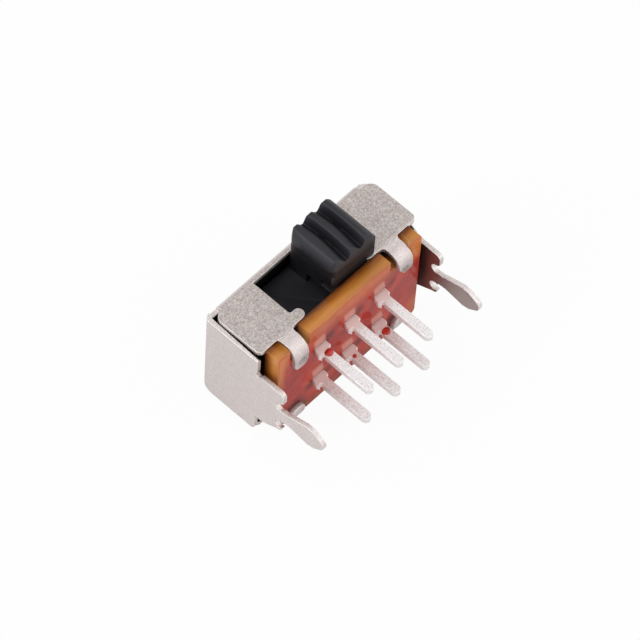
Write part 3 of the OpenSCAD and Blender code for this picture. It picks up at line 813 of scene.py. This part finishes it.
def round_start(radius, count):
    """Distances from the start of a round edge, closer together at its steep start."""
    return [radius * (1 - math.cos(math.pi / 2 * k / count)) for k in range(count)]


def knob_stations():
    """Depths of the sections, closer together where the ends are round."""
    front = [KNOB_FRONT + d for d in round_start(FRONT_ROUND, FRONT_STATIONS)]
    back = [KNOB_BACK - d for d in round_start(CORNER_ROUND, BACK_STATIONS)]
    lo, hi = KNOB_FRONT + FRONT_ROUND, KNOB_BACK - CORNER_ROUND
    middle = [lo + (hi - lo) * k / MIDDLE_STATIONS for k in range(MIDDLE_STATIONS + 1)]
    return sorted(front + middle + back)


def add_knob(bm):
    rings = []
    for y in knob_stations():
        rings.append([bm.verts.new((x * MM, y * MM, (TOP_Z + h) * MM)) for x, h in knob_section(y)])
    for one, two in zip(rings, rings[1:]):
        add_strip(bm, one, two)
    bm.faces.new(rings[0][::-1])
    bm.faces.new(rings[-1])


def round_neck_corner(bm):
    """Curves the cuts that the bevel made along the neck's -X side, at the back, into a round corner."""
    for v in bm.verts:
        x, y, z = v.co / MM
        if z > CARRIER_TOP - CLOSE and abs(x - KNOB_LEFT) < NECK_SIDE:
            v.co.x += quarter(NECK_ROUND, KNOB_BACK - y) * MM


def formed_slider():
    """The CAD slider up to the knob, with the detailed knob on its neck."""
    bm = node_mesh("slider")
    bevelled(bm, edges_at(bm, x=KNOB_LEFT, y=KNOB_BACK), NECK_ROUND, NECK_STEPS)
    cut = bmesh.ops.bisect_plane(
        bm,
        geom=bm.verts[:] + bm.edges[:] + bm.faces[:],
        plane_co=(0, 0, (TOP_Z + KNOB_CUT) * MM),
        plane_no=(0, 0, 1),
        clear_outer=True,
    )
    bmesh.ops.edgeloop_fill(bm, edges=[e for e in cut["geom_cut"] if isinstance(e, bmesh.types.BMEdge)])
    below_cut = (TOP_Z + KNOB_CUT - CUT_MARGIN) * MM
    bevelled(bm, [e for e in sharp_edges(bm) if max(v.co.z for v in e.verts) < below_cut], SLIDER_ROUND)
    round_neck_corner(bm)
    add_knob(bm)
    bmesh.ops.recalc_face_normals(bm, faces=bm.faces)
    piece = replacement(bm, "slider_moulding", "slide", "slider")
    piece.data.set_sharp_from_angle(angle=math.radians(KNOB_SHARP_DEGREES))


# ---------------------------------------------------------------- all pieces

formed_frame()
formed_board()
formed_slider()
for drop in LACQUER_DROPS:
    lacquer_drop(*drop)
for node, slot in SLOT_OF.items():
    if slot == "terminal_tin":
        formed_terminal(node)

for name, obj in frame["nodes"].items():
    if not obj.hide_render:
        obj.data.materials.clear()
        obj.data.materials.append(MATERIALS[SLOT_OF[name]])

# ---------------------------------------------------------------- stage and light

WHITE = (1, 1, 1, 1)
# How much of the plain white each kind of ray sees, in place of the lit floor and of the world's light.
FLOOR_WHITE = {"Is Camera Ray": 0.94, "Is Glossy Ray": 0.25, "Is Transmission Ray": 0.75}
WORLD_WHITE = {"Is Camera Ray": 1.0, "Is Glossy Ray": 1.0, "Is Transmission Ray": 1.0}
WORLD_LIGHT = 0.62
FLOOR_HALF_M, FLOOR_DROP, FLOOR_COLOUR = 3.0, 0.02, (0.9, 0.9, 0.9, 1)
# The lamps' place, side and aim are in metres, and their power in watts.
LAMPS = {"key": ((-0.16, 0.05, 0.12), 0.12, 0.14), "fill": ((0.10, -0.18, 0.13), 0.4, 0.3)}
LAMP_AIM = Vector((0, 0, 0.003))


def coloured(tree, kind, colour, strength=None):
    n = tree.nodes.new(kind)
    n.inputs["Color"].default_value = colour
    if strength is not None:
        n.inputs["Strength"].default_value = strength
    return n.outputs[0]


def mix_by_ray(tree, output, lit, white, shares):
    """Sends lit to the output, with white in its place by the share of each kind of ray."""
    path = tree.nodes.new("ShaderNodeLightPath")
    share = None
    for ray, part in shares.items():
        step = tree.nodes.new("ShaderNodeMath")
        step.operation = "MULTIPLY_ADD"
        tree.links.new(path.outputs[ray], step.inputs[0])
        step.inputs[1].default_value = part
        step.inputs[2].default_value = 0.0
        if share is not None:
            tree.links.new(share, step.inputs[2])
        share = step.outputs[0]
    mix = tree.nodes.new("ShaderNodeMixShader")
    for socket, source in zip(mix.inputs, (share, lit, white)):
        tree.links.new(source, socket)
    tree.links.new(mix.outputs[0], tree.nodes.new(output).inputs["Surface"])


def make_floor():
    half = FLOOR_HALF_M
    mesh = bpy.data.meshes.new("floor")
    mesh.from_pydata([(-half, -half, 0), (half, -half, 0), (half, half, 0), (-half, half, 0)], [], [(0, 1, 2, 3)])
    floor = bpy.data.objects.new("floor", mesh)
    bpy.context.scene.collection.objects.link(floor)
    floor.location.z = -FLOOR_DROP * MM
    mat = bpy.data.materials.new("floor")
    mat.use_nodes = True
    tree = mat.node_tree
    tree.nodes.clear()
    lit = coloured(tree, "ShaderNodeBsdfDiffuse", FLOOR_COLOUR)
    white = coloured(tree, "ShaderNodeEmission", WHITE, 1.0)
    mix_by_ray(tree, "ShaderNodeOutputMaterial", lit, white, FLOOR_WHITE)
    mesh.materials.append(mat)


def make_world():
    world = bpy.data.worlds.new("studio")
    bpy.context.scene.world = world
    world.use_nodes = True
    tree = world.node_tree
    tree.nodes.clear()
    lit = coloured(tree, "ShaderNodeBackground", WHITE, WORLD_LIGHT)
    white = coloured(tree, "ShaderNodeBackground", WHITE, 1.0)
    mix_by_ray(tree, "ShaderNodeOutputWorld", lit, white, WORLD_WHITE)


def make_lamp(name, at, side, power):
    data = bpy.data.lights.new(name, "AREA")
    data.shape, data.size, data.energy = "SQUARE", side, power
    lamp = bpy.data.objects.new(name, data)
    bpy.context.scene.collection.objects.link(lamp)
    lamp.location = at
    lamp.rotation_euler = (LAMP_AIM - Vector(at)).to_track_quat("-Z", "Y").to_euler()


make_floor()
make_world()
for name, lamp in LAMPS.items():
    make_lamp(name, *lamp)
bpy.context.scene.view_settings.view_transform = "Standard"
